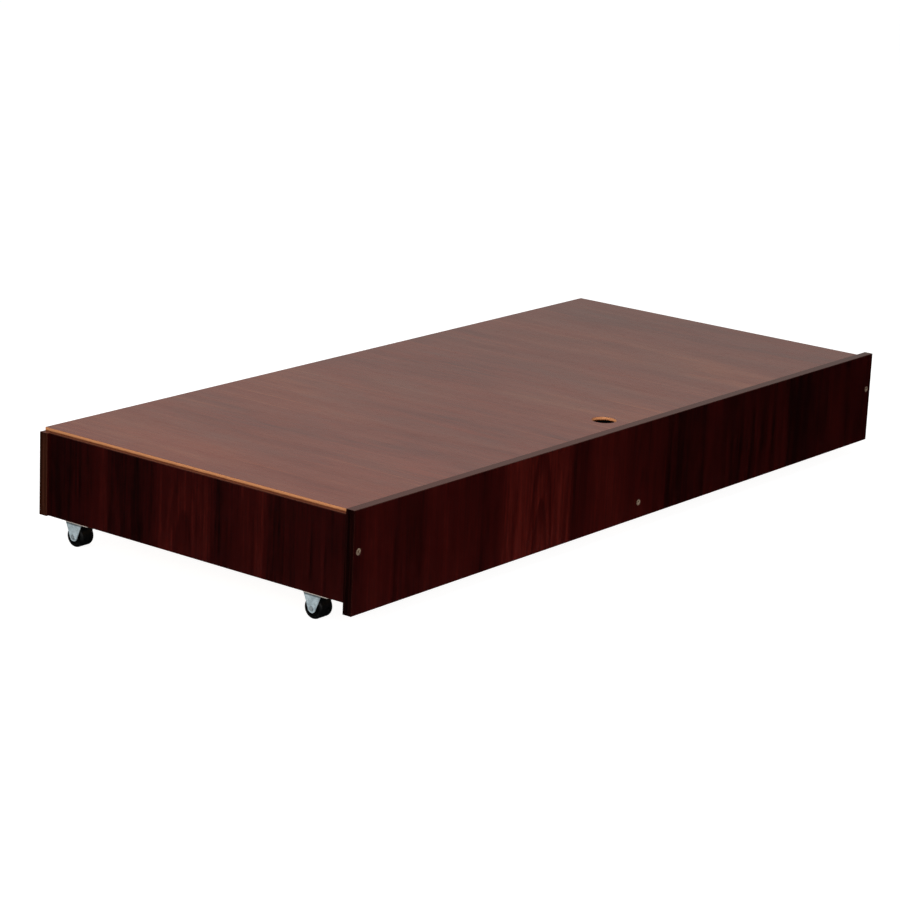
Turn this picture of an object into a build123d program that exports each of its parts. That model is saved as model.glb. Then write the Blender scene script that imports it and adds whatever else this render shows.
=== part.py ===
from build123d import *

import os
from math import atan2, degrees

# Under bed box: a low storage box of faced chipboard with a loose lid, on four fixed casters.
# Millimetres. +X runs along the length, the front is towards -Y, +Z is up, the floor is Z = 0.
# The origin is on the floor under the middle of the box. A side of -1 means left or front,
# and 1 means right or rear.

# ------------------------------------------------------------------ driving dimensions
LENGTH = 1360.0  # over the front panel
DEPTH = 600.0  # front face to rear face
BOARD = 15.0  # faced chipboard
EDGING = 0.6  # melamine edge strip
ARRIS = 0.3  # softened corner of a board or an edge strip
FRONT_HEIGHT = 150.0
CARCASS_HEIGHT = 126.0  # end panels and rear panel
FRONT_DROP = 15.0  # the front panel hangs below the carcass
END_SETBACK = 4.0  # end panels stand in from the ends of the front and rear panels

LID_THICKNESS = 5.0
LID_END_INSET = 11.0  # lid's ends stand in from the ends of the rear panel
LID_FRONT_GAP = 1.5
FINGER_HOLE_RADIUS = 19.0
FINGER_HOLE_X = -17.0
FINGER_HOLE_FROM_FRONT = 61.0  # hole's centre behind the front face

BOTTOM_THICKNESS = 3.0
GROOVE_DEPTH = 6.0
GROOVE_HEIGHT = 3.2
GROOVE_PLAY = 0.5  # between the bottom board's edge and the foot of its groove

BEARER_HEIGHT = 20.0
END_BEARER_WIDTH = 40.0
CENTRE_BEARER_WIDTH = 60.0
BATTEN_WIDTH = 15.0
BATTEN_HEIGHT = 20.0

CASTER_HEIGHT = 38.0  # floor to the underside of the carcass
CASTER_PLATE_Y = 230.0  # plate centres, in front of and behind the middle
CASTER_SETBACK = 1.5  # bracket's outer leg stands in from the end panel's face
AXLE_OFFSET = 5.0  # the axle stands behind the middle of its plate
PLATE_LENGTH = 46.0
PLATE_WIDTH = 30.0
PLATE_CORNER = 3.0
PLATE_HOLE_SPACING_X = 18.0
PLATE_HOLE_SPACING_Y = 35.0
SHEET = 1.5  # pressed steel of the bracket
LEG_WIDTH = 30.0
LEG_TIP_RADIUS = 6.5
BEND_RADIUS = 1.2
AXLE_RADIUS = 2.5
AXLE_HEAD_RADIUS = 3.8
AXLE_HEAD_HEIGHT = 0.9
AXLE_HEAD_FILLET = 0.7
WHEEL_RADIUS = 16.0
WHEEL_WIDTH = 25.0
WHEEL_SHOULDER = 3.2
RIM_INNER_RADIUS = 11.8
WEB_WIDTH = 13.0
HUB_WIDTH = 26.4
HUB_RADIUS = 5.5

FIT = 0.05  # clearance on the radius between a fastener or an axle and its hole
END_PLAY = 1.0  # between a fastener's tip and the end of its hole
CONFIRMAT_HEAD_RADIUS = 5.0
CONFIRMAT_HEAD_HEIGHT = 3.5
CONFIRMAT_NECK_RADIUS = 3.5
CONFIRMAT_NECK_END = 14.0
CONFIRMAT_SHANK_RADIUS = 2.6
CONFIRMAT_LENGTH = 50.0
CONFIRMAT_SINK = 0.4  # head lies this far below the panel's face
SOCKET_ACROSS_FLATS = 4.0
SOCKET_DEPTH = 3.0
CORNER_SCREW_RISE = 90.0  # corner screw above the front panel's lower edge
DOWEL_RADIUS = 4.0
DOWEL_LENGTH = 30.0
DOWEL_CHAMFER = 1.0
LOWER_DOWEL_RISE = 36.0  # above the underside of the carcass
UPPER_DOWEL_DROP = 18.0  # below the top of the carcass
DOWEL_IN_FACE = 10.0  # length of a dowel inside the long panel
WOOD_SCREW_HEAD_RADIUS = 3.8
WOOD_SCREW_RADIUS = 1.9
BEARER_SCREW_LENGTH = 50.0
BATTEN_SCREW_LENGTH = 25.0
CASTER_SCREW_HEAD_RADIUS = 3.0
CASTER_SCREW_HEAD_HEIGHT = 1.8
CASTER_SCREW_HEAD_FILLET = 1.1
CASTER_SCREW_RADIUS = 1.45
CASTER_SCREW_LENGTH = 16.0
CASTER_SCREW_HOLE_RADIUS = 1.7
RECESS_WIDTH = 0.9  # one slot of a cross recess
RECESS_LENGTH = 3.4
RECESS_DEPTH = 1.0
NAIL_RADIUS = 0.7
NAIL_HEAD_RADIUS = 1.6
NAIL_HEAD_HEIGHT = 0.5
NAIL_LENGTH = 16.0

# ------------------------------------------------------------------ derived places
HALF_LENGTH = LENGTH / 2
HALF_DEPTH = DEPTH / 2
INNER_DEPTH = HALF_DEPTH - BOARD  # middle to the inner face of the front and rear panels
CARCASS_BOTTOM = CASTER_HEIGHT
CARCASS_TOP = CARCASS_BOTTOM + CARCASS_HEIGHT
FRONT_BOTTOM = CARCASS_BOTTOM - FRONT_DROP
END_OUTER = HALF_LENGTH - END_SETBACK
END_INNER = END_OUTER - BOARD
END_MIDDLE = END_OUTER - BOARD / 2
BOTTOM_LEVEL = CARCASS_BOTTOM + BEARER_HEIGHT  # underside of the bottom board
BOTTOM_TOP = BOTTOM_LEVEL + BOTTOM_THICKNESS
BEARER_MIDDLE = CARCASS_BOTTOM + BEARER_HEIGHT / 2
BATTEN_MIDDLE = CARCASS_TOP - BATTEN_HEIGHT / 2
BRACKET_X = END_OUTER - CASTER_SETBACK - PLATE_WIDTH / 2  # middle of a caster from the middle
PLATE_BOTTOM = CARCASS_BOTTOM - SHEET

# Screws through a long panel: one into each end panel, one into the centre bearer.
CORNER_SCREW_LEVEL = FRONT_BOTTOM + CORNER_SCREW_RISE
CONFIRMAT_POINTS = [
    (-END_MIDDLE, CORNER_SCREW_LEVEL),
    (0, BEARER_MIDDLE),
    (END_MIDDLE, CORNER_SCREW_LEVEL),
]
DOWEL_LEVELS = (CARCASS_BOTTOM + LOWER_DOWEL_RISE, CARCASS_TOP - UPPER_DOWEL_DROP)
DOWEL_POINTS = [(x, level) for x in (-END_MIDDLE, END_MIDDLE) for level in DOWEL_LEVELS]
BATTEN_SCREW_POINTS = [(x, BATTEN_MIDDLE) for x in (-540.0, -180.0, 180.0, 540.0)]
BEARER_SCREW_POINTS = [(y, BEARER_MIDDLE) for y in (-170.0, 0.0, 170.0)]
NAIL_POINTS = [(0, y) for y in (-190.0, -64.0, 64.0, 190.0)]


def upright(y, toward):
    """Upright plane at that y, facing -Y (toward -1) or +Y (toward 1); its own y axis is +Z."""
    return Plane(origin=(0, y, 0), x_dir=(-toward, 0, 0), z_dir=(0, toward, 0))


def finish(piece, name):
    """Label the finished piece and write it to its own file."""
    piece.part.label = name
    export_step(piece.part, f"parts/{name}.step")


# ------------------------------------------------------------------ fasteners
# Each maker gives the fasteners, or with grow the holes they need, larger by that radius.
def make_confirmats(side, grow=0.0):
    """Three countersunk chipboard screws through the front or the rear panel."""
    head_face = upright(side * (HALF_DEPTH - CONFIRMAT_SINK), -side)
    taper = degrees(atan2(CONFIRMAT_HEAD_RADIUS - CONFIRMAT_NECK_RADIUS, CONFIRMAT_HEAD_HEIGHT))
    with BuildPart() as screws:
        with BuildSketch(head_face):
            with Locations(*CONFIRMAT_POINTS):
                Circle(CONFIRMAT_HEAD_RADIUS + grow)
        extrude(amount=CONFIRMAT_HEAD_HEIGHT, taper=taper)
        with BuildSketch(head_face):
            with Locations(*CONFIRMAT_POINTS):
                Circle(CONFIRMAT_NECK_RADIUS + grow)
        extrude(amount=CONFIRMAT_NECK_END)
        with BuildSketch(head_face):
            with Locations(*CONFIRMAT_POINTS):
                Circle(CONFIRMAT_SHANK_RADIUS + grow)
        extrude(amount=CONFIRMAT_LENGTH + (END_PLAY if grow else 0))
        if grow:
            # the seat is open up to the panel's face
            with BuildSketch(head_face):
                with Locations(*CONFIRMAT_POINTS):
                    Circle(CONFIRMAT_HEAD_RADIUS + grow)
            extrude(amount=-2 * CONFIRMAT_SINK)
        else:
            with BuildSketch(head_face):
                with Locations(*CONFIRMAT_POINTS):
                    RegularPolygon(SOCKET_ACROSS_FLATS / 2, 6, major_radius=False)
            extrude(amount=SOCKET_DEPTH, mode=Mode.SUBTRACT)
    return screws


def make_wood_screws(head_face, points, length, grow=0.0):
    """Countersunk wood screws whose heads lie flush in head_face, which faces into the wood."""
    head_height = WOOD_SCREW_HEAD_RADIUS - WOOD_SCREW_RADIUS
    with BuildPart() as screws:
        with BuildSketch(head_face):
            with Locations(*points):
                Circle(WOOD_SCREW_HEAD_RADIUS + grow)
        extrude(amount=head_height, taper=45)
        with BuildSketch(head_face):
            with Locations(*points):
                Circle(WOOD_SCREW_RADIUS + grow)
        extrude(amount=length + (END_PLAY if grow else 0))
        if not grow:
            with BuildSketch(head_face):
                with Locations(*points):
                    Rectangle(RECESS_LENGTH, RECESS_WIDTH)
                    Rectangle(RECESS_WIDTH, RECESS_LENGTH)
            extrude(amount=RECESS_DEPTH, mode=Mode.SUBTRACT)
    return screws


def make_bearer_screws(side, grow=0.0):
    """Wood screws from inside the box, through an end bearer into its end panel."""
    inner_face = Plane(
        origin=(side * (END_INNER - END_BEARER_WIDTH), 0, 0),
        x_dir=(0, side, 0),
        z_dir=(side, 0, 0),
    )
    return make_wood_screws(inner_face, BEARER_SCREW_POINTS, BEARER_SCREW_LENGTH, grow)


def make_batten_screws(grow=0.0):
    """Wood screws through the lid batten into the back of the front panel."""
    inner_face = upright(-INNER_DEPTH + BATTEN_WIDTH, -1)
    return make_wood_screws(inner_face, BATTEN_SCREW_POINTS, BATTEN_SCREW_LENGTH, grow)


def make_dowels(grow=0.0):
    """Plain dowels, two at each corner, half in a long panel and half in an end panel."""
    play = END_PLAY if grow else 0
    with BuildPart() as dowels:
        for side in (-1, 1):
            with BuildSketch(upright(side * (INNER_DEPTH + DOWEL_IN_FACE + play), -side)):
                with Locations(*DOWEL_POINTS):
                    Circle(DOWEL_RADIUS + grow)
            extrude(amount=DOWEL_LENGTH + 2 * play)
        if not grow:
            chamfer(dowels.edges().filter_by(GeomType.CIRCLE), DOWEL_CHAMFER)
    return dowels


def make_nails(grow=0.0):
    """Flat-headed nails through the bottom board into the centre bearer."""
    with BuildPart() as nails:
        with BuildSketch(Plane.XY.offset(BOTTOM_TOP)):
            with Locations(*NAIL_POINTS):
                Circle(NAIL_RADIUS + grow)
        extrude(amount=-NAIL_LENGTH - (END_PLAY if grow else 0))
        if not grow:
            with BuildSketch(Plane.XY.offset(BOTTOM_TOP)):
                with Locations(*NAIL_POINTS):
                    Circle(NAIL_HEAD_RADIUS)
            extrude(amount=NAIL_HEAD_HEIGHT)
    return nails


def caster_screw_points(side, end):
    """Plan positions of one caster's four screws; end is -1 for the front caster, 1 for the rear."""
    centre_x = side * BRACKET_X
    centre_y = end * CASTER_PLATE_Y
    return [
        (centre_x + i * PLATE_HOLE_SPACING_X / 2, centre_y + j * PLATE_HOLE_SPACING_Y / 2)
        for i in (-1, 1)
        for j in (-1, 1)
    ]


def make_caster_screws(side, end, grow=0.0):
    """Pan-headed screws of one caster, up into the end panel's edge and the end bearer."""
    points = caster_screw_points(side, end)
    underside = Plane.XY.offset(PLATE_BOTTOM)
    with BuildPart() as screws:
        with BuildSketch(underside):
            with Locations(*points):
                Circle(CASTER_SCREW_RADIUS + grow)
        extrude(amount=CASTER_SCREW_LENGTH + (END_PLAY if grow else 0))
        if not grow:
            with BuildSketch(underside):
                with Locations(*points):
                    Circle(CASTER_SCREW_HEAD_RADIUS)
            extrude(amount=-CASTER_SCREW_HEAD_HEIGHT)
            rims = screws.edges().filter_by(GeomType.CIRCLE).group_by(Axis.Z)[0]
            fillet(rims, CASTER_SCREW_HEAD_FILLET)
            with BuildSketch(underside.offset(-CASTER_SCREW_HEAD_HEIGHT)):
                with Locations(*points):
                    Rectangle(RECESS_LENGTH, RECESS_WIDTH)
                    Rectangle(RECESS_WIDTH, RECESS_LENGTH)
            extrude(amount=RECESS_DEPTH, mode=Mode.SUBTRACT)
    return screws


# ------------------------------------------------------------------ panels
def make_long_panel(side, bottom, height):
    """Chipboard core of the front or rear panel, with its groove and its holes."""
    with BuildPart() as panel:
        with BuildSketch(upright(side * INNER_DEPTH, side)):
            with Locations((0, bottom + height / 2)):
                Rectangle(LENGTH - 2 * EDGING, height - 2 * EDGING)
        extrude(amount=BOARD)
        # groove for the bottom board, stopped short of the panel's ends
        with BuildSketch(upright(side * INNER_DEPTH, side)):
            with Locations((0, BOTTOM_LEVEL + GROOVE_HEIGHT / 2)):
                Rectangle(2 * (END_INNER + GROOVE_DEPTH), GROOVE_HEIGHT)
        extrude(amount=GROOVE_DEPTH, mode=Mode.SUBTRACT)
        add(make_dowels(FIT).part, mode=Mode.SUBTRACT)
        add(make_confirmats(side, FIT).part, mode=Mode.SUBTRACT)
        if side < 0:
            add(make_batten_screws(FIT).part, mode=Mode.SUBTRACT)
    return panel


def make_long_edging(side, bottom, height):
    """Edge strips along the top, the bottom and both ends of the front or rear panel."""
    inner_face = upright(side * INNER_DEPTH, side)
    with BuildPart() as strips:
        with BuildSketch(inner_face):
            with Locations((0, bottom + EDGING / 2), (0, bottom + height - EDGING / 2)):
                Rectangle(LENGTH, EDGING)
        extrude(amount=BOARD)
        for outermost in (0, -1):
            chamfer(strips.edges().filter_by(Axis.X).group_by(Axis.Z)[outermost], ARRIS)
        with BuildSketch(inner_face):
            with Locations((0, bottom + height / 2)):
                with GridLocations(LENGTH - EDGING, 0, 2, 1):
                    Rectangle(EDGING, height - 2 * EDGING)
        extrude(amount=BOARD)
    return strips


def make_end_panel(side):
    """Chipboard core of the left or right end panel, with its groove and its holes."""
    with BuildPart() as panel:
        with BuildSketch(Plane.YZ.offset(side * END_INNER)):
            with Locations((0, CARCASS_BOTTOM + CARCASS_HEIGHT / 2)):
                Rectangle(2 * INNER_DEPTH, CARCASS_HEIGHT - 2 * EDGING)
        extrude(amount=side * BOARD)
        with BuildSketch(Plane.YZ.offset(side * END_INNER)):
            with Locations((0, BOTTOM_LEVEL + GROOVE_HEIGHT / 2)):
                Rectangle(2 * INNER_DEPTH, GROOVE_HEIGHT)
        extrude(amount=side * GROOVE_DEPTH, mode=Mode.SUBTRACT)
        add(make_dowels(FIT).part, mode=Mode.SUBTRACT)
        add(make_bearer_screws(side, FIT).part, mode=Mode.SUBTRACT)
        for end in (-1, 1):
            add(make_confirmats(end, FIT).part, mode=Mode.SUBTRACT)
            add(make_caster_screws(side, end, FIT).part, mode=Mode.SUBTRACT)
    return panel


def make_end_edging(side):
    """Edge strips along the top and the bottom of an end panel."""
    with BuildPart() as strips:
        with BuildSketch(Plane.YZ.offset(side * END_INNER)):
            with Locations((0, CARCASS_BOTTOM + CARCASS_HEIGHT / 2)):
                with GridLocations(0, CARCASS_HEIGHT - EDGING, 1, 2):
                    Rectangle(2 * INNER_DEPTH, EDGING)
        extrude(amount=side * BOARD)
        for outermost in (0, -1):
            long_edges = strips.edges().filter_by(Axis.Y).group_by(Axis.Z)[outermost]
            chamfer(long_edges, ARRIS)
        for end in (-1, 1):
            add(make_caster_screws(side, end, FIT).part, mode=Mode.SUBTRACT)
    return strips


# ------------------------------------------------------------------ frame inside the box
def make_end_bearer(side):
    """Timber along an end panel, under the bottom board, that the casters are screwed to."""
    with BuildPart() as bearer:
        with BuildSketch(Plane.YZ.offset(side * END_INNER)):
            with Locations((0, BEARER_MIDDLE)):
                Rectangle(2 * INNER_DEPTH, BEARER_HEIGHT)
        extrude(amount=-side * END_BEARER_WIDTH)
        add(make_bearer_screws(side, FIT).part, mode=Mode.SUBTRACT)
        for end in (-1, 1):
            add(make_caster_screws(side, end, FIT).part, mode=Mode.SUBTRACT)
    return bearer


def make_centre_bearer():
    """Timber across the middle of the box, screwed through the front and rear panels."""
    with BuildPart() as bearer:
        with BuildSketch(Plane.XY.offset(CARCASS_BOTTOM)):
            Rectangle(CENTRE_BEARER_WIDTH, 2 * INNER_DEPTH)
        extrude(amount=BEARER_HEIGHT)
        for side in (-1, 1):
            add(make_confirmats(side, FIT).part, mode=Mode.SUBTRACT)
        add(make_nails(FIT).part, mode=Mode.SUBTRACT)
    return bearer


def make_bottom_board():
    """Thin board let into the grooves of all four panels."""
    reach = GROOVE_DEPTH - GROOVE_PLAY
    with BuildPart() as board:
        with BuildSketch(Plane.XY.offset(BOTTOM_LEVEL)):
            Rectangle(2 * (END_INNER + reach), 2 * (INNER_DEPTH + reach))
        extrude(amount=BOTTOM_THICKNESS)
        add(make_nails(FIT).part, mode=Mode.SUBTRACT)
    return board


def make_lid_batten():
    """Batten along the back of the front panel that carries the lid's front edge."""
    with BuildPart() as batten:
        with BuildSketch(upright(-INNER_DEPTH, 1)):
            with Locations((0, BATTEN_MIDDLE)):
                Rectangle(2 * END_INNER, BATTEN_HEIGHT)
        extrude(amount=BATTEN_WIDTH)
        add(make_batten_screws(FIT).part, mode=Mode.SUBTRACT)
    return batten


# ------------------------------------------------------------------ lid
def make_lid():
    """Loose board on top of the carcass, behind the front panel, with a finger hole."""
    front_edge = -INNER_DEPTH + LID_FRONT_GAP
    with BuildPart() as board:
        with BuildSketch(Plane.XY.offset(CARCASS_TOP)):
            with Locations((0, (front_edge + HALF_DEPTH) / 2)):
                Rectangle(LENGTH - 2 * LID_END_INSET, HALF_DEPTH - front_edge)
            with Locations((FINGER_HOLE_X, FINGER_HOLE_FROM_FRONT - HALF_DEPTH)):
                Circle(FINGER_HOLE_RADIUS, mode=Mode.SUBTRACT)
        extrude(amount=LID_THICKNESS)
        chamfer(board.faces().sort_by(Axis.Z)[-1].edges(), ARRIS)
    return board


# ------------------------------------------------------------------ casters
def axle_plane(side, end):
    """Plane across one caster's wheel: origin on the axle, own x along +X, own y along +Z."""
    axle_y = end * CASTER_PLATE_Y + AXLE_OFFSET
    return Plane(origin=(side * BRACKET_X, axle_y, WHEEL_RADIUS), x_dir=(1, 0, 0), z_dir=(0, -1, 0))


def make_caster_bracket(side, end):
    """Folded steel bracket: a plate with a tapering leg on each side of the wheel."""
    axle = axle_plane(side, end).origin
    with BuildPart() as bracket:
        with BuildSketch(Plane.XY.offset(PLATE_BOTTOM)):
            with Locations((axle.X, end * CASTER_PLATE_Y)):
                RectangleRounded(PLATE_WIDTH, PLATE_LENGTH, PLATE_CORNER)
        extrude(amount=SHEET)
        for leg_x in (axle.X - PLATE_WIDTH / 2, axle.X + PLATE_WIDTH / 2 - SHEET):
            with BuildSketch(Plane.YZ.offset(leg_x)):
                with Locations((axle.Y, axle.Z)):
                    Circle(LEG_TIP_RADIUS)
                with Locations((axle.Y, CARCASS_BOTTOM - SHEET)):
                    Rectangle(LEG_WIDTH, SHEET)
                make_hull()
            extrude(amount=SHEET)
        bends = bracket.edges().filter_by(Axis.Y).group_by(Axis.Z)[-1]
        fillet(bends, BEND_RADIUS)
        with BuildSketch(Plane.YZ.offset(axle.X - PLATE_WIDTH / 2)):
            with Locations((axle.Y, axle.Z)):
                Circle(AXLE_RADIUS + FIT)
        extrude(amount=PLATE_WIDTH, mode=Mode.SUBTRACT)
        with BuildSketch(Plane.XY.offset(PLATE_BOTTOM)):
            with Locations(*caster_screw_points(side, end)):
                Circle(CASTER_SCREW_HOLE_RADIUS)
        extrude(amount=SHEET, mode=Mode.SUBTRACT)
    return bracket


def make_caster_axle(side, end):
    """Rivet through both legs, with a domed head on each outer face."""
    across = axle_plane(side, end)
    start = across.origin.X - PLATE_WIDTH / 2
    with BuildPart() as axle:
        with BuildSketch(Plane.YZ.offset(start)):
            with Locations((across.origin.Y, across.origin.Z)):
                Circle(AXLE_RADIUS)
        extrude(amount=PLATE_WIDTH)
        for head_x, grows in ((start, -1), (start + PLATE_WIDTH, 1)):
            with BuildSketch(Plane.YZ.offset(head_x)):
                with Locations((across.origin.Y, across.origin.Z)):
                    Circle(AXLE_HEAD_RADIUS)
            extrude(amount=grows * AXLE_HEAD_HEIGHT)
        rims = axle.edges().filter_by(GeomType.CIRCLE).group_by(Axis.X)
        fillet(rims[0] + rims[-1], AXLE_HEAD_FILLET)
    return axle


def make_caster_wheel(side, end):
    """Moulded wheel with a rounded tread, a sunken web and a hub that turns on the axle."""
    across = axle_plane(side, end)
    with BuildPart() as wheel:
        with BuildSketch(across):
            with Locations((0, WHEEL_RADIUS / 2)):
                tread = Rectangle(WHEEL_WIDTH, WHEEL_RADIUS)
            fillet(tread.vertices().group_by(Axis.Y)[-1], WHEEL_SHOULDER)
            with Locations((0, HUB_RADIUS / 2)):
                Rectangle(HUB_WIDTH, HUB_RADIUS)
            web_middle = (RIM_INNER_RADIUS + HUB_RADIUS) / 2
            web_offset = (WHEEL_WIDTH + WEB_WIDTH) / 4
            with Locations((-web_offset, web_middle), (web_offset, web_middle)):
                recess_width = (WHEEL_WIDTH - WEB_WIDTH) / 2
                Rectangle(recess_width, RIM_INNER_RADIUS - HUB_RADIUS, mode=Mode.SUBTRACT)
            bore = AXLE_RADIUS + FIT
            with Locations((0, bore / 2)):
                Rectangle(HUB_WIDTH, bore, mode=Mode.SUBTRACT)
        revolve(axis=Axis(across.origin, (1, 0, 0)))
    return wheel


# ------------------------------------------------------------------ write every piece
os.makedirs("parts", exist_ok=True)

for side, place in ((-1, "front"), (1, "rear")):
    bottom = FRONT_BOTTOM if side < 0 else CARCASS_BOTTOM
    height = FRONT_HEIGHT if side < 0 else CARCASS_HEIGHT
    finish(make_long_panel(side, bottom, height), f"{place}_panel")
    finish(make_long_edging(side, bottom, height), f"{place}_panel_edging")
    finish(make_confirmats(side), f"{place}_confirmat_screws")

for side, place in ((-1, "left"), (1, "right")):
    finish(make_end_panel(side), f"{place}_end_panel")
    finish(make_end_edging(side), f"{place}_end_panel_edging")
    finish(make_end_bearer(side), f"{place}_bearer")
    finish(make_bearer_screws(side), f"{place}_bearer_screws")
    for end, row in ((-1, "front"), (1, "rear")):
        finish(make_caster_bracket(side, end), f"{row}_{place}_caster_bracket")
        finish(make_caster_axle(side, end), f"{row}_{place}_caster_axle")
        finish(make_caster_wheel(side, end), f"{row}_{place}_caster_wheel")
        finish(make_caster_screws(side, end), f"{row}_{place}_caster_screws")

finish(make_centre_bearer(), "centre_bearer")
finish(make_bottom_board(), "bottom_board")
finish(make_nails(), "bottom_board_nails")
finish(make_lid_batten(), "lid_batten")
finish(make_batten_screws(), "lid_batten_screws")
finish(make_dowels(), "corner_dowels")
finish(make_lid(), "lid")
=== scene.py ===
from math import cos, radians, sin

import bpy
from mathutils import Matrix, Vector


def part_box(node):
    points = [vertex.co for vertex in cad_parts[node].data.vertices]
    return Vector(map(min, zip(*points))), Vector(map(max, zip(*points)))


# Looks for the under bed box. Metres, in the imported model's frame: the front panel is towards -Y,
# the floor is Z = 0 and the box stands over the origin.

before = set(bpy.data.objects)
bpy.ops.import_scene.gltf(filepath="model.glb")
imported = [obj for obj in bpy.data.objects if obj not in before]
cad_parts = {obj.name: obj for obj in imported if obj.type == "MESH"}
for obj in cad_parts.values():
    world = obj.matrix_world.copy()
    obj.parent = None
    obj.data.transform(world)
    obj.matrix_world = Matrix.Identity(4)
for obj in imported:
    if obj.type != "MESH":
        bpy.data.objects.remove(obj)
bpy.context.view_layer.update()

MM = 0.001

# The foil's print, in millimetres from a panel's left end as seen from outside the box.
# Broad stripes: place and lightness. Flame figures: place of the middle and strength.
LONG_STRIPES = (
    (0, 0.46), (35, 0.58), (125, 0.42), (225, 0.56), (295, 0.37), (362, 0.72),
    (496, 0.67), (503, 0.33), (600, 0.58), (705, 0.48), (760, 0.30), (855, 0.27),
    (863, 0.43), (930, 0.30), (1060, 0.36), (1150, 0.17), (1225, 0.36), (1360, 0.33),
)
LONG_FLAMES = ((424, 1.0), (690, 0.5))
SHORT_STRIPES = (
    (0, 0.31), (85, 0.38), (108, 0.56), (130, 0.30), (200, 0.29), (226, 0.63),
    (305, 0.62), (335, 0.32), (385, 0.52), (422, 0.66), (430, 0.37), (570, 0.42),
)
SHORT_FLAMES = ((270, 0.6),)
# A flame figure is a nest of tall ellipses about a point below the floor: their tops show as arches.
FLAME_LOW = 12.0 * MM  # size of the ellipse whose top is at the floor
FLAME_RISE = 0.17  # growth of that size for each metre that the top is higher
FLAME_NARROW = 1.35  # the ellipses are squeezed sideways by this much
FLAME_EDGE = 62.0 * MM  # half the figure's width
FLAME_FULL = 14.0 * MM  # half the width over which its rings are at full strength
FLAME_DEPTH = 0.21  # how much darker a full ring is than the board around it
RING_PITCH = 13.5 * MM  # from one ring to the next, in size
RING_PHASE = 0.745
GRAIN_STEP = 7.3  # metres, in the noise, from one panel's grain to the next one's

SHEET = 1.5 * MM  # thickness of a caster's pressed plate

# ------------------------------------------------------------------ colours (linear RGB)
FOIL_DARK = (0.0040, 0.0002, 0.0002)
FOIL_MID = (0.0240, 0.0011, 0.0008)
FOIL_RED = (0.0740, 0.0052, 0.0030)
FRONT_STRIP_DARK = (0.0030, 0.0003, 0.0002)
FRONT_STRIP_LIGHT = (0.0100, 0.0012, 0.0009)
BODY_STRIP_DARK = (0.0160, 0.0034, 0.0016)
BODY_STRIP_LIGHT = (0.0480, 0.0130, 0.0060)
# pale colour of worn edges, also used for painted highlights and painted sheen
STRIP_WEAR_AND_SHEEN = (0.1000, 0.0240, 0.0160)
LID_DARK = (0.066, 0.0150, 0.0125)
LID_MID = (0.114, 0.0225, 0.0125)
LID_LIGHT = (0.172, 0.0460, 0.0210)
LID_RED = (0.128, 0.0215, 0.0110)
# grey of a painted sheen on the lid
LID_SHEEN_GREY = (0.088, 0.0330, 0.0250)
FIBRE_DARK = (0.260, 0.078, 0.024)
FIBRE_LIGHT = (0.770, 0.335, 0.145)
HDF_DARK = (0.180, 0.078, 0.034)
HDF_LIGHT = (0.340, 0.170, 0.080)
PINE_DARK = (0.430, 0.240, 0.105)
PINE_LIGHT = (0.720, 0.500, 0.270)
BEECH_DARK = (0.420, 0.260, 0.140)
BEECH_LIGHT = (0.640, 0.460, 0.290)
ZINC_DARK = (0.330, 0.420, 0.460)
ZINC_LIGHT = (0.680, 0.800, 0.850)
# pale cut edge of the sheet steel, brightened as a painted highlight
CUT_EDGE_HIGHLIGHT = (0.900, 0.800, 0.700)
# painted shade in the bend under a caster's plate
BEND_SHADE = (0.030, 0.045, 0.050)
BRONZE_DARK = (0.100, 0.068, 0.052)
BRONZE_LIGHT = (0.550, 0.405, 0.285)
SCREW_DARK = (0.350, 0.350, 0.340)
SCREW_LIGHT = (0.650, 0.650, 0.640)
RIVET_DARK = (0.100, 0.120, 0.130)
RIVET_LIGHT = (0.560, 0.650, 0.690)
WHEEL_DARK = (0.0012, 0.0013, 0.0014)
WHEEL_LIGHT = (0.0050, 0.0052, 0.0056)
WHEEL_DUST = (0.0260, 0.0250, 0.0240)


# ------------------------------------------------------------------ node helpers
MIX_A, MIX_B, MIX_RESULT = 6, 7, 2  # a Mix node's sockets for colours


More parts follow.
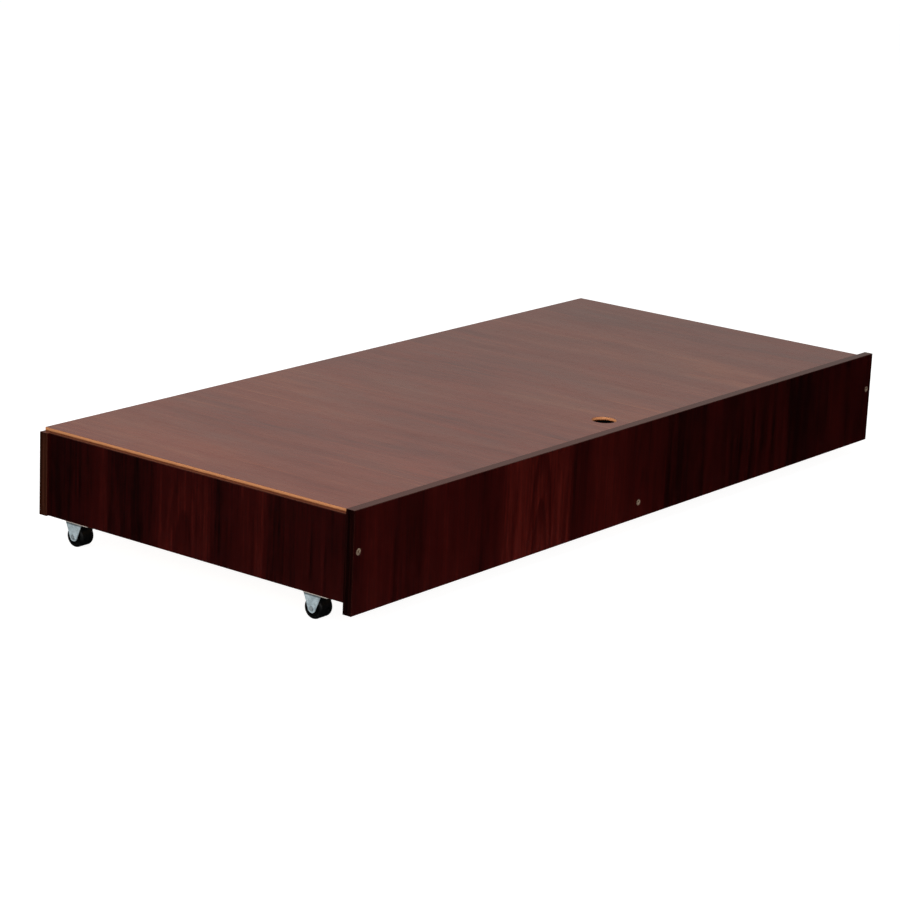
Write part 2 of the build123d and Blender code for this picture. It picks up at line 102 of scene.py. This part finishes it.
class Shader:
    """One procedural material. Each method adds a node and gives back its output socket."""

    def __init__(self, name):
        self.material = bpy.data.materials.new(name)
        self.material.use_nodes = True
        self.tree = self.material.node_tree
        self.surface = self.tree.nodes["Principled BSDF"]
        self.place = self.add("ShaderNodeTexCoord").outputs["Object"]

    def add(self, kind, **settings):
        node = self.tree.nodes.new(kind)
        for key, value in settings.items():
            setattr(node, key, value)
        return node

    def plug(self, socket, value):
        if isinstance(value, bpy.types.NodeSocket):
            self.tree.links.new(value, socket)
        elif isinstance(value, tuple) and len(value) == 3 and socket.type == "RGBA":
            socket.default_value = (*value, 1.0)
        else:
            socket.default_value = value

    def math(self, operation, a, b=0.0):
        node = self.add("ShaderNodeMath", operation=operation)
        self.plug(node.inputs[0], a)
        self.plug(node.inputs[1], b)
        return node.outputs[0]

    def times(self, a, b):
        return self.math("MULTIPLY", a, b)

    def plus(self, a, b):
        return self.math("ADD", a, b)

    def split(self, vector):
        node = self.add("ShaderNodeSeparateXYZ")
        self.plug(node.inputs[0], vector)
        return node.outputs

    def join(self, x, y, z):
        node = self.add("ShaderNodeCombineXYZ")
        for socket, value in zip(node.inputs, (x, y, z)):
            self.plug(socket, value)
        return node.outputs[0]

    def stretch(self, vector, scale):
        node = self.add("ShaderNodeVectorMath", operation="MULTIPLY")
        self.plug(node.inputs[0], vector)
        node.inputs[1].default_value = scale
        return node.outputs[0]

    def noise(self, vector, scale, detail=3.0, rough=0.5, distortion=0.0):
        """Noise from 0 to 1. scale says how many waves there are to a metre along X, Y and Z."""
        node = self.add("ShaderNodeTexNoise")
        self.plug(node.inputs["Vector"], self.stretch(vector, scale))
        node.inputs["Scale"].default_value = 1.0
        node.inputs["Detail"].default_value = detail
        node.inputs["Roughness"].default_value = rough
        node.inputs["Distortion"].default_value = distortion
        return node.outputs["Fac"]

    def cells(self, vector, scale):
        """Distance from the middle of the nearest grain, for specks."""
        node = self.add("ShaderNodeTexVoronoi")
        self.plug(node.inputs["Vector"], self.stretch(vector, scale))
        node.inputs["Scale"].default_value = 1.0
        return node.outputs["Distance"]

    def profile(self, place, points):
        """Eases between the values of points (place, value), whose places go from 0 to 1."""
        node = self.add("ShaderNodeValToRGB")
        self.plug(node.inputs[0], place)
        node.color_ramp.interpolation = "EASE"
        stops = node.color_ramp.elements
        inner = [stops.new(position) for position, _ in points[1:-1]]
        for stop, (_, value) in zip([stops[0], *inner, stops[-1]], points):
            stop.color = (value, value, value, 1.0)
        return node.outputs["Color"]

    def about(self, value, swing):
        """value swings around 0 instead of around one half, and by that much."""
        return self.times(self.plus(value, -0.5), swing)

    def band(self, value, low, high, out_low=0.0, out_high=1.0):
        """value from low to high becomes out_low to out_high, smoothly and clamped."""
        node = self.add("ShaderNodeMapRange", interpolation_type="SMOOTHSTEP")
        for socket, number in zip(node.inputs, (value, low, high, out_low, out_high)):
            self.plug(socket, number)
        return node.outputs[0]

    def mix(self, share, a, b):
        """Colour a where share is 0, colour b where it is 1."""
        node = self.add("ShaderNodeMix", data_type="RGBA")
        self.plug(node.inputs[0], share)
        self.plug(node.inputs[MIX_A], a)
        self.plug(node.inputs[MIX_B], b)
        return node.outputs[MIX_RESULT]

    def facing(self):
        """The surface's own normal, as X, Y, Z outputs."""
        return self.split(self.add("ShaderNodeNewGeometry").outputs["True Normal"])

    def rounded(self, radius):
        """The surface's normal with its edges rounded off by radius."""
        bevel = self.add("ShaderNodeBevel", samples=6)
        bevel.inputs["Radius"].default_value = radius
        return bevel.outputs[0]

    def worn(self, rounded):
        """0 on flat ground, rising to 1 along an edge, where the rounded normal turns away."""
        dot = self.add("ShaderNodeVectorMath", operation="DOT_PRODUCT")
        self.plug(dot.inputs[0], rounded)
        self.plug(dot.inputs[1], self.add("ShaderNodeNewGeometry").outputs["Normal"])
        return self.band(dot.outputs["Value"], 0.995, 0.80)

    def bump(self, height, distance, strength, normal):
        """normal tilted by a relief as deep as distance."""
        node = self.add("ShaderNodeBump")
        node.inputs["Strength"].default_value = strength
        node.inputs["Distance"].default_value = distance
        self.plug(node.inputs["Height"], height)
        self.plug(node.inputs["Normal"], normal)
        return node.outputs[0]

    def finish(self, colour, roughness, normal, metallic=0.0, specular=0.5):
        """Wire the surface up and give back the finished material."""
        self.plug(self.surface.inputs["Base Color"], colour)
        self.plug(self.surface.inputs["Roughness"], roughness)
        self.plug(self.surface.inputs["Normal"], normal)
        self.plug(self.surface.inputs["Metallic"], metallic)
        self.plug(self.surface.inputs["Specular IOR Level"], specular)
        return self.material


# ------------------------------------------------------------------ wood and board
def printed_foil(name, node, side, stripes, flames, seed):
    """Dark mahogany print on an upright board: broad stripes, flame figure, fine vertical grain."""
    s = Shader(name)
    x, y, z = s.split(s.place)
    low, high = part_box(node)
    length = max(high.x - low.x, high.y - low.y)
    run, left_end = {
        "front": (x, low.x),
        "rear": (x, high.x),
        "left": (y, high.y),
        "right": (y, low.y),
    }[side]
    along = s.math("ABSOLUTE", s.plus(run, -left_end))
    flat = s.join(s.plus(along, seed), 0.0, z)
    warp = s.noise(flat, (6.0, 1.0, 5.0), detail=2.0)

    waved = s.plus(along, s.about(warp, 14 * MM))
    shares = [(place * MM / length, level) for place, level in stripes]
    tone = s.profile(s.times(waved, 1.0 / length), shares)
    rise = s.plus(s.times(z, FLAME_RISE), FLAME_LOW)
    for place, strength in flames:
        sideways = s.times(s.plus(waved, -place * MM), FLAME_NARROW)
        size = s.math("SQRT", s.plus(s.math("POWER", sideways, 2.0), s.math("POWER", rise, 2.0)))
        ring = s.math("FRACT", s.plus(s.times(size, 1.0 / RING_PITCH), RING_PHASE))
        ring_line = s.times(s.band(ring, 0.25, 0.90), s.band(ring, 1.0, 0.91))
        nearness = s.band(s.math("ABSOLUTE", sideways), FLAME_EDGE, FLAME_FULL)
        tone = s.plus(tone, s.times(s.times(ring_line, nearness), -FLAME_DEPTH * strength))

    broad = s.noise(flat, (20.0, 1.0, 5.0), detail=3.0, rough=0.6)
    medium = s.noise(flat, (60.0, 1.0, 2.6), detail=3.0, rough=0.60)
    streak = s.noise(flat, (260.0, 1.0, 7.0), detail=4.0, rough=0.70)
    mottle = s.noise(flat, (210.0, 1.0, 40.0), detail=3.0, rough=0.6)
    pores = s.noise(flat, (1900.0, 1.0, 60.0), detail=2.0, rough=0.5)
    pore = s.band(pores, 0.60, 0.68)
    for grain, swing in ((broad, 0.35), (medium, 0.60), (streak, 1.00), (mottle, 0.30)):
        tone = s.plus(tone, s.about(grain, swing))

    colour = s.mix(s.band(tone, 0.12, 0.56), FOIL_DARK, FOIL_MID)
    colour = s.mix(s.band(tone, 0.50, 1.02), colour, FOIL_RED)
    colour = s.mix(s.times(pore, 0.45), colour, FOIL_DARK)
    rounded = s.rounded(0.7 * MM)
    # edges turn paler: partly wear, partly a painted highlight along the arris
    colour = s.mix(s.times(s.worn(rounded), 0.80), colour, STRIP_WEAR_AND_SHEEN)

    roughness = s.plus(s.plus(0.24, s.times(streak, 0.12)), s.times(pore, 0.10))
    relief = s.plus(s.times(streak, 0.5), s.times(pore, -0.8))
    normal = s.bump(relief, 0.03 * MM, 0.6, rounded)
    return s.finish(colour, roughness, normal, specular=0.20)


def edge_strip(name, dark, light, along):
    """Melamine edge strip: dark print with its grain along the strip, paler along its edges from wear
    and a painted highlight, and paler on its upward faces as a painted sheen.
    """
    s = Shader(name)
    nx, _, nz = s.facing()
    run = (9.0, 420.0, 420.0) if along == "X" else (420.0, 9.0, 420.0)
    level = s.noise(s.place, run, detail=3.0, rough=0.6)
    upright = s.noise(s.place, (420.0, 420.0, 9.0), detail=3.0, rough=0.6)
    is_end = s.math("GREATER_THAN", s.math("ABSOLUTE", nx), 0.6)
    streak = s.plus(s.times(is_end, upright), s.times(s.math("SUBTRACT", 1.0, is_end), level))
    rounded = s.rounded(0.6 * MM)
    colour = s.mix(s.band(streak, 0.34, 0.66), dark, light)
    # edges paler from wear and a painted highlight; upward faces paler as a painted sheen
    wear_and_sheen = s.plus(s.times(s.worn(rounded), 0.45), s.times(s.band(nz, 0.5, 0.9), 0.40))
    colour = s.mix(wear_and_sheen, colour, STRIP_WEAR_AND_SHEEN)
    roughness = s.plus(0.20, s.times(streak, 0.14))
    normal = s.bump(streak, 0.02 * MM, 0.6, rounded)
    return s.finish(colour, roughness, normal, specular=0.11)


def lid_board(name):
    """Foiled top with grain across the box, raw fibre edges, bare underside."""
    s = Shader(name)
    x, y, z = s.split(s.place)
    warp = s.noise(s.place, (2.2, 0.8, 1.0), detail=2.0)
    flat = s.join(s.plus(x, s.about(warp, 0.040)), y, 0.0)
    patch = s.noise(flat, (4.0, 1.2, 1.0), detail=4.0, rough=0.60)
    medium = s.noise(flat, (26.0, 3.4, 1.0), detail=4.0, rough=0.62)
    streak = s.noise(flat, (130.0, 7.0, 1.0), detail=4.0, rough=0.68)
    fine = s.noise(flat, (520.0, 14.0, 1.0), detail=3.0, rough=0.60)
    pores = s.noise(flat, (1300.0, 45.0, 1.0), detail=2.0, rough=0.5)
    pore = s.band(pores, 0.58, 0.68)
    thread = s.band(s.noise(flat, (230.0, 1.7, 1.0), detail=2.0, rough=0.5), 0.58, 0.72)
    tone = 0.49
    for grain, swing in ((patch, 1.35), (medium, 0.68), (streak, 0.55), (fine, 0.15)):
        tone = s.plus(tone, s.about(grain, swing))
    tone = s.plus(tone, s.times(thread, 0.36))
    foil = s.mix(s.band(tone, 0.10, 0.56), LID_DARK, LID_MID)
    foil = s.mix(s.band(tone, 0.50, 1.00), foil, LID_LIGHT)
    # grey patches are painted sheen: the grey of reflected light put into the colour
    cool = s.noise(flat, (9.0, 3.4, 1.0), detail=5.0, rough=0.65)
    foil = s.mix(s.band(cool, 0.46, 0.66, 0.0, 0.36), foil, LID_SHEEN_GREY)
    elsewhere = s.join(s.plus(x, 5.0), y, 0.0)  # so that the warm streaks don't follow the cool ones
    warm = s.noise(elsewhere, (14.0, 3.0, 1.0), detail=5.0, rough=0.65)
    foil = s.mix(s.band(warm, 0.48, 0.68, 0.0, 0.65), foil, LID_RED)
    foil = s.mix(s.times(pore, 0.20), foil, LID_DARK)

    # the raw edge is pale near the top face and darker towards the underside
    lid_low, lid_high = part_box("lid")
    edge_height = s.band(z, lid_low.z, lid_low.z + 0.6 * (lid_high.z - lid_low.z))
    fibre = s.noise(s.place, (900.0, 900.0, 1600.0), detail=3.0, rough=0.7)
    clump = s.noise(s.place, (60.0, 60.0, 500.0), detail=2.0)
    raw_tone = s.plus(s.plus(s.times(fibre, 0.5), s.times(clump, 0.3)), s.times(edge_height, 0.42))
    raw = s.mix(s.band(raw_tone, 0.34, 0.74), FIBRE_DARK, FIBRE_LIGHT)
    felt = s.noise(s.place, (240.0, 240.0, 1.0), detail=5.0, rough=0.7)
    under = s.mix(s.band(felt, 0.35, 0.65), HDF_DARK, HDF_LIGHT)

    nz = s.facing()[2]
    is_top = s.math("GREATER_THAN", nz, 0.35)
    is_raw = s.math("SUBTRACT", 1.0, is_top)
    is_under = s.math("LESS_THAN", nz, -0.5)
    colour = s.mix(is_under, s.mix(is_top, raw, foil), under)
    gloss = s.plus(s.plus(0.27, s.about(streak, 0.14)), s.times(pore, 0.08))
    roughness = s.plus(s.times(is_top, gloss), s.times(is_raw, 0.75))
    shine = s.plus(s.plus(0.39, s.about(streak, 0.20)), s.about(medium, 0.45))
    specular = s.plus(s.times(is_top, shine), s.times(is_raw, 0.20))
    relief_top = s.plus(s.times(streak, 0.35), s.times(pore, -0.5))
    relief = s.plus(s.times(is_top, relief_top), s.times(is_raw, s.times(fibre, 3.0)))
    normal = s.bump(relief, 0.03 * MM, 0.6, s.rounded(0.5 * MM))
    return s.finish(colour, roughness, normal, specular=specular)


def bare_hdf(name):
    """Smooth pressed hardboard: brown, mottled, with fine fibres."""
    s = Shader(name)
    mottle = s.noise(s.place, (22.0, 22.0, 22.0), detail=5.0, rough=0.75)
    fibre = s.noise(s.place, (700.0, 260.0, 500.0), detail=4.0, rough=0.7, distortion=1.5)
    tone = s.plus(s.times(mottle, 0.22), s.times(fibre, 0.78))
    colour = s.mix(s.band(tone, 0.36, 0.64), HDF_DARK, HDF_LIGHT)
    normal = s.bump(fibre, 0.05 * MM, 0.5, s.rounded(0.4 * MM))
    return s.finish(colour, s.plus(0.50, s.times(mottle, 0.2)), normal, specular=0.35)


def timber(name, dark, light, along, ring_pitch):
    """Planed softwood or beech with its grain along X or Y and growth rings at ring_pitch."""
    s = Shader(name)
    x, y, z = s.split(s.place)
    lengthways, sideways = (x, y) if along == "X" else (y, x)
    turned = s.join(lengthways, sideways, z)
    drift = s.noise(turned, (2.0, 14.0, 14.0), detail=2.0)
    depth = s.plus(s.plus(sideways, s.times(z, 0.8)), s.times(drift, 0.030))
    ring = s.math("FRACT", s.times(depth, 1.0 / ring_pitch))
    late = s.band(ring, 0.55, 0.98)
    grain = s.noise(turned, (8.0, 900.0, 900.0), detail=3.0)
    tone = s.plus(s.times(late, -0.55), s.times(grain, 0.6))
    colour = s.mix(s.band(tone, -0.30, 0.50), dark, light)
    relief = s.plus(grain, s.times(late, 0.3))
    normal = s.bump(relief, 0.06 * MM, 0.5, s.rounded(0.6 * MM))
    return s.finish(colour, s.plus(0.52, s.times(grain, 0.18)), normal, specular=0.35)


# ------------------------------------------------------------------ metal and plastic
EVEN_BRUSH = (260.0, 260.0, 260.0)
UPRIGHT_BRUSH = (120.0, 120.0, 1400.0)
BEND_LOW, BEND_HIGH = 3.6 * MM, 1.2 * MM  # below the plate: the painted shade of the bend starts, is full
SOFT_LINE = 0.2 * MM  # width over which the painted shade turns into the pale cut edge


def plated_steel(name, dark, light, roughness, metallic, brushed=EVEN_BRUSH, plate=None):
    """Zinc plated steel: cloudy passivation, fine scratches, brighter worn edges.
    plate is the height of a plate's underside: its cut edge is pale, bare steel with a painted
    highlight, and the bend under it has painted shade."""
    s = Shader(name)
    cloud = s.noise(s.place, (140.0, 140.0, 140.0), detail=4.0, rough=0.6)
    brush = s.noise(s.place, brushed, detail=4.0, rough=0.7)
    speck = s.cells(s.place, (900.0, 900.0, 900.0))
    tone = s.plus(s.plus(s.times(cloud, 0.55), s.times(brush, 0.35)), s.times(speck, 0.15))
    rounded = s.rounded(0.35 * MM)
    worn = s.worn(rounded)
    colour = s.mix(s.band(tone, 0.34, 0.72), dark, light)
    colour = s.mix(s.times(worn, 0.40), colour, light)
    if plate is not None:
        z = s.split(s.place)[2]
        # painted shade in the bend under the plate, where the plate overhangs the leg
        below = s.band(z, plate - BEND_LOW, plate - BEND_HIGH)
        bend = s.times(below, s.band(z, plate + SOFT_LINE, plate))
        colour = s.mix(s.times(bend, 0.75), colour, BEND_SHADE)
        # the plate's cut edge: bare steel, painted pale as a highlight
        colour = s.mix(s.band(z, plate, plate + SOFT_LINE), colour, CUT_EDGE_HIGHLIGHT)
    rough = s.plus(s.plus(roughness, s.times(brush, 0.18)), s.times(worn, -0.10))
    normal = s.bump(s.plus(brush, s.times(speck, 0.4)), 0.02 * MM, 0.5, rounded)
    return s.finish(colour, rough, normal, metallic=metallic)


def moulded_black(name):
    """Black moulded wheel: slight pebble, paler scuffs and dust on the tread."""
    s = Shader(name)
    pebble = s.noise(s.place, (1600.0, 1600.0, 1600.0), detail=2.0)
    cloud = s.noise(s.place, (190.0, 190.0, 190.0), detail=4.0, rough=0.7)
    scuff = s.noise(s.place, (90.0, 700.0, 700.0), detail=3.0, rough=0.7)
    colour = s.mix(s.band(cloud, 0.35, 0.70), WHEEL_DARK, WHEEL_LIGHT)
    dust = s.times(s.band(scuff, 0.54, 0.74), 0.16)
    colour = s.mix(dust, colour, WHEEL_DUST)
    rough = s.plus(0.26, s.times(cloud, 0.24))
    relief = s.plus(pebble, s.times(scuff, 0.6))
    normal = s.bump(relief, 0.03 * MM, 0.6, s.rounded(0.8 * MM))
    return s.finish(colour, rough, normal, specular=0.16)


# ------------------------------------------------------------------ dress the CAD nodes
def dress(names, material):
    """Give every named CAD node this one material."""
    for name in names:
        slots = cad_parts[name].data.materials
        slots.clear()
        slots.append(material)


panels = (
    ("front", "front_panel", LONG_STRIPES, LONG_FLAMES),
    ("rear", "rear_panel", LONG_STRIPES, LONG_FLAMES),
    ("left", "left_end_panel", SHORT_STRIPES, SHORT_FLAMES),
    ("right", "right_end_panel", SHORT_STRIPES, SHORT_FLAMES),
)
for number, (side, node, stripes, flames) in enumerate(panels, 1):
    dress([node], printed_foil(f"foil_{side}", node, side, stripes, flames, GRAIN_STEP * number))
dress(["front_panel_edging"], edge_strip("front_strip", FRONT_STRIP_DARK, FRONT_STRIP_LIGHT, "X"))
dress(["rear_panel_edging"], edge_strip("rear_strip", BODY_STRIP_DARK, BODY_STRIP_LIGHT, "X"))
end_strip = edge_strip("end_strip", BODY_STRIP_DARK, BODY_STRIP_LIGHT, "Y")
dress(["left_end_panel_edging", "right_end_panel_edging"], end_strip)
dress(["lid"], lid_board("lid_board"))
dress(["bottom_board"], bare_hdf("bare_hdf"))
bearers = ["left_bearer", "right_bearer", "centre_bearer"]
dress(bearers, timber("pine_across", PINE_DARK, PINE_LIGHT, "Y", 5.5 * MM))
dress(["lid_batten"], timber("pine_along", PINE_DARK, PINE_LIGHT, "X", 5.0 * MM))
dress(["corner_dowels"], timber("beech", BEECH_DARK, BEECH_LIGHT, "Y", 2.0 * MM))

bronze = plated_steel("bronzed_steel", BRONZE_DARK, BRONZE_LIGHT, roughness=0.30, metallic=0.45)
dress(["front_confirmat_screws", "rear_confirmat_screws"], bronze)
casters = [f"{row}_{side}_caster" for row in ("front", "rear") for side in ("left", "right")]
small_screws = ["left_bearer_screws", "right_bearer_screws", "lid_batten_screws", "bottom_board_nails"]
small_screws += [f"{caster}_screws" for caster in casters]
screw = plated_steel("zinc_screw", SCREW_DARK, SCREW_LIGHT, roughness=0.25, metallic=0.70)
dress(small_screws, screw)
plate_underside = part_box("front_left_caster_bracket")[1].z - SHEET
zinc = plated_steel(
    "zinc_sheet", ZINC_DARK, ZINC_LIGHT, roughness=0.30, metallic=0.35,
    brushed=UPRIGHT_BRUSH, plate=plate_underside,
)
dress([f"{caster}_bracket" for caster in casters], zinc)
rivet = plated_steel("rivet", RIVET_DARK, RIVET_LIGHT, roughness=0.35, metallic=0.60)
dress([f"{caster}_axle" for caster in casters], rivet)
dress([f"{caster}_wheel" for caster in casters], moulded_black("moulded_black"))


# ------------------------------------------------------------------ floor, light and camera
FLOOR_HALF = 14.0
FLOOR_GREY = (0.32, 0.32, 0.32, 1.0)
FLOOR_GLOW = 0.28  # what lights the box
FLOOR_GLOW_SEEN = 0.93  # what the camera sees
WHITE = (1.0, 1.0, 1.0, 1.0)
BACKDROP = 1.1
DOME_COLOUR = (1.0, 0.965, 0.905, 1.0)
DOME_DIFFUSE, DOME_GLOSSY = 0.28, 0.52  # the dome's strength for each kind of ray
DOME_FULL = 0.24  # sine of the elevation at which the dome reaches its full strength


def make_floor():
    """White floor that takes a faint shadow, brighter to look at than the light it throws back.
    From below it is clear, so that the underside can be looked at."""
    half = FLOOR_HALF
    mesh = bpy.data.meshes.new("floor")
    corners = [(-half, -half, 0), (half, -half, 0), (half, half, 0), (-half, half, 0)]
    mesh.from_pydata(corners, [], [(0, 1, 2, 3)])
    floor = bpy.data.objects.new("floor", mesh)
    bpy.context.scene.collection.objects.link(floor)
    material = bpy.data.materials.new("floor")
    material.use_nodes = True
    new, link = material.node_tree.nodes.new, material.node_tree.links.new
    surface = material.node_tree.nodes["Principled BSDF"]
    surface.inputs["Base Color"].default_value = FLOOR_GREY
    surface.inputs["Roughness"].default_value = 0.9
    surface.inputs["Specular IOR Level"].default_value = 0.0
    surface.inputs["Emission Color"].default_value = WHITE
    path = new("ShaderNodeLightPath")
    glow = new("ShaderNodeMapRange")
    glow.inputs["To Min"].default_value = FLOOR_GLOW
    glow.inputs["To Max"].default_value = FLOOR_GLOW_SEEN
    link(path.outputs["Is Camera Ray"], glow.inputs["Value"])
    link(glow.outputs[0], surface.inputs["Emission Strength"])
    side = new("ShaderNodeNewGeometry")
    open_below = new("ShaderNodeMixShader")
    link(side.outputs["Backfacing"], open_below.inputs[0])
    link(surface.outputs[0], open_below.inputs[1])
    link(new("ShaderNodeBsdfTransparent").outputs[0], open_below.inputs[2])
    link(open_below.outputs[0], material.node_tree.nodes["Material Output"].inputs["Surface"])
    mesh.materials.append(material)
    floor.visible_glossy = False


def make_world():
    """White to the camera. For other rays a warm dome, dark at the horizon, and stronger for
    reflections than for diffuse light."""
    world = bpy.data.worlds.new("studio")
    bpy.context.scene.world = world
    world.use_nodes = True
    tree = world.node_tree
    tree.nodes.clear()
    new, link = tree.nodes.new, tree.links.new
    out = new("ShaderNodeOutputWorld")
    place = new("ShaderNodeTexCoord")
    split = new("ShaderNodeSeparateXYZ")
    link(place.outputs["Generated"], split.inputs[0])
    path = new("ShaderNodeLightPath")
    top = new("ShaderNodeMapRange")
    top.inputs["To Min"].default_value = DOME_GLOSSY
    top.inputs["To Max"].default_value = DOME_DIFFUSE
    link(path.outputs["Is Diffuse Ray"], top.inputs["Value"])
    climb = new("ShaderNodeMapRange")
    climb.interpolation_type = "SMOOTHSTEP"
    climb.inputs["From Max"].default_value = DOME_FULL
    link(split.outputs[2], climb.inputs["Value"])
    link(top.outputs[0], climb.inputs["To Max"])
    dome = new("ShaderNodeBackground")
    dome.inputs["Color"].default_value = DOME_COLOUR
    link(climb.outputs[0], dome.inputs["Strength"])
    backdrop = new("ShaderNodeBackground")
    backdrop.inputs["Color"].default_value = WHITE
    backdrop.inputs["Strength"].default_value = BACKDROP
    choose = new("ShaderNodeMixShader")
    link(path.outputs["Is Camera Ray"], choose.inputs[0])
    link(dome.outputs[0], choose.inputs[1])
    link(backdrop.outputs[0], choose.inputs[2])
    link(choose.outputs[0], out.inputs["Surface"])


def make_softbox(name, place, aim, size, power, mirrored):
    """Rectangular area light at place, turned towards aim. Reflections show it only if mirrored."""
    light = bpy.data.lights.new(name, "AREA")
    light.shape = "RECTANGLE"
    light.size, light.size_y = size
    light.energy = power
    lamp = bpy.data.objects.new(name, light)
    bpy.context.scene.collection.objects.link(lamp)
    lamp.location = place
    lamp.visible_camera = False
    lamp.visible_glossy = mirrored
    lamp.rotation_mode = "QUATERNION"
    lamp.rotation_quaternion = (Vector(aim) - Vector(place)).to_track_quat("-Z", "Y")


def make_camera():
    """Three-quarter view on the left end and the front, from a little above."""
    azimuth, elevation, roll = radians(-52.4), radians(15.2), radians(2.6)
    distance = 4.7
    aim_right, aim_up = -0.0534, -0.0296  # from the middle of the box, at the front panel's mid height
    back = Vector((sin(azimuth) * cos(elevation), -cos(azimuth) * cos(elevation), sin(elevation)))
    right = (-back).cross(Vector((0, 0, 1))).normalized()
    up = right.cross(-back)
    low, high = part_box("front_panel_edging")
    aim = Vector((0, 0, (low.z + high.z) / 2)) + aim_right * right + aim_up * up
    cam_right = cos(roll) * right + sin(roll) * up
    cam_up = cos(roll) * up - sin(roll) * right
    data = bpy.data.cameras.new("camera")
    data.sensor_width = 36.0
    data.lens = 118.9
    data.clip_end = 60.0
    camera = bpy.data.objects.new("camera", data)
    bpy.context.scene.collection.objects.link(camera)
    turned = Matrix((cam_right, cam_up, back)).transposed().to_4x4()
    camera.matrix_world = Matrix.Translation(aim + back * distance) @ turned
    bpy.context.scene.camera = camera


make_floor()
make_world()
# the two bounce strips stand in for light that the floor throws back at the foot of the panels
make_softbox("overhead", (-0.9, -0.5, 2.3), (-0.3, -0.1, 0), (2.0, 1.6), 52, mirrored=True)
make_softbox("front_fill", (-1.9, -2.7, 1.1), (-0.5, -0.3, 0.1), (3.2, 2.0), 30, mirrored=True)
make_softbox("left_fill", (-3.4, 0.4, 1.2), (-0.6, 0, 0.1), (3.0, 2.0), 13, mirrored=True)
make_softbox("rear_fill", (-0.2, 3.3, 1.1), (0, 0.3, 0.1), (2.4, 1.2), 26, mirrored=False)
make_softbox("front_bounce", (0, -0.355, 0.006), (0, -0.30, 0.030), (1.36, 0.01), 0.12, mirrored=False)
make_softbox("left_bounce", (-0.74, 0, 0.006), (-0.67, 0, 0.045), (0.6, 0.01), 0.05, mirrored=False)
make_camera()
bpy.context.scene.view_settings.view_transform = "Standard"
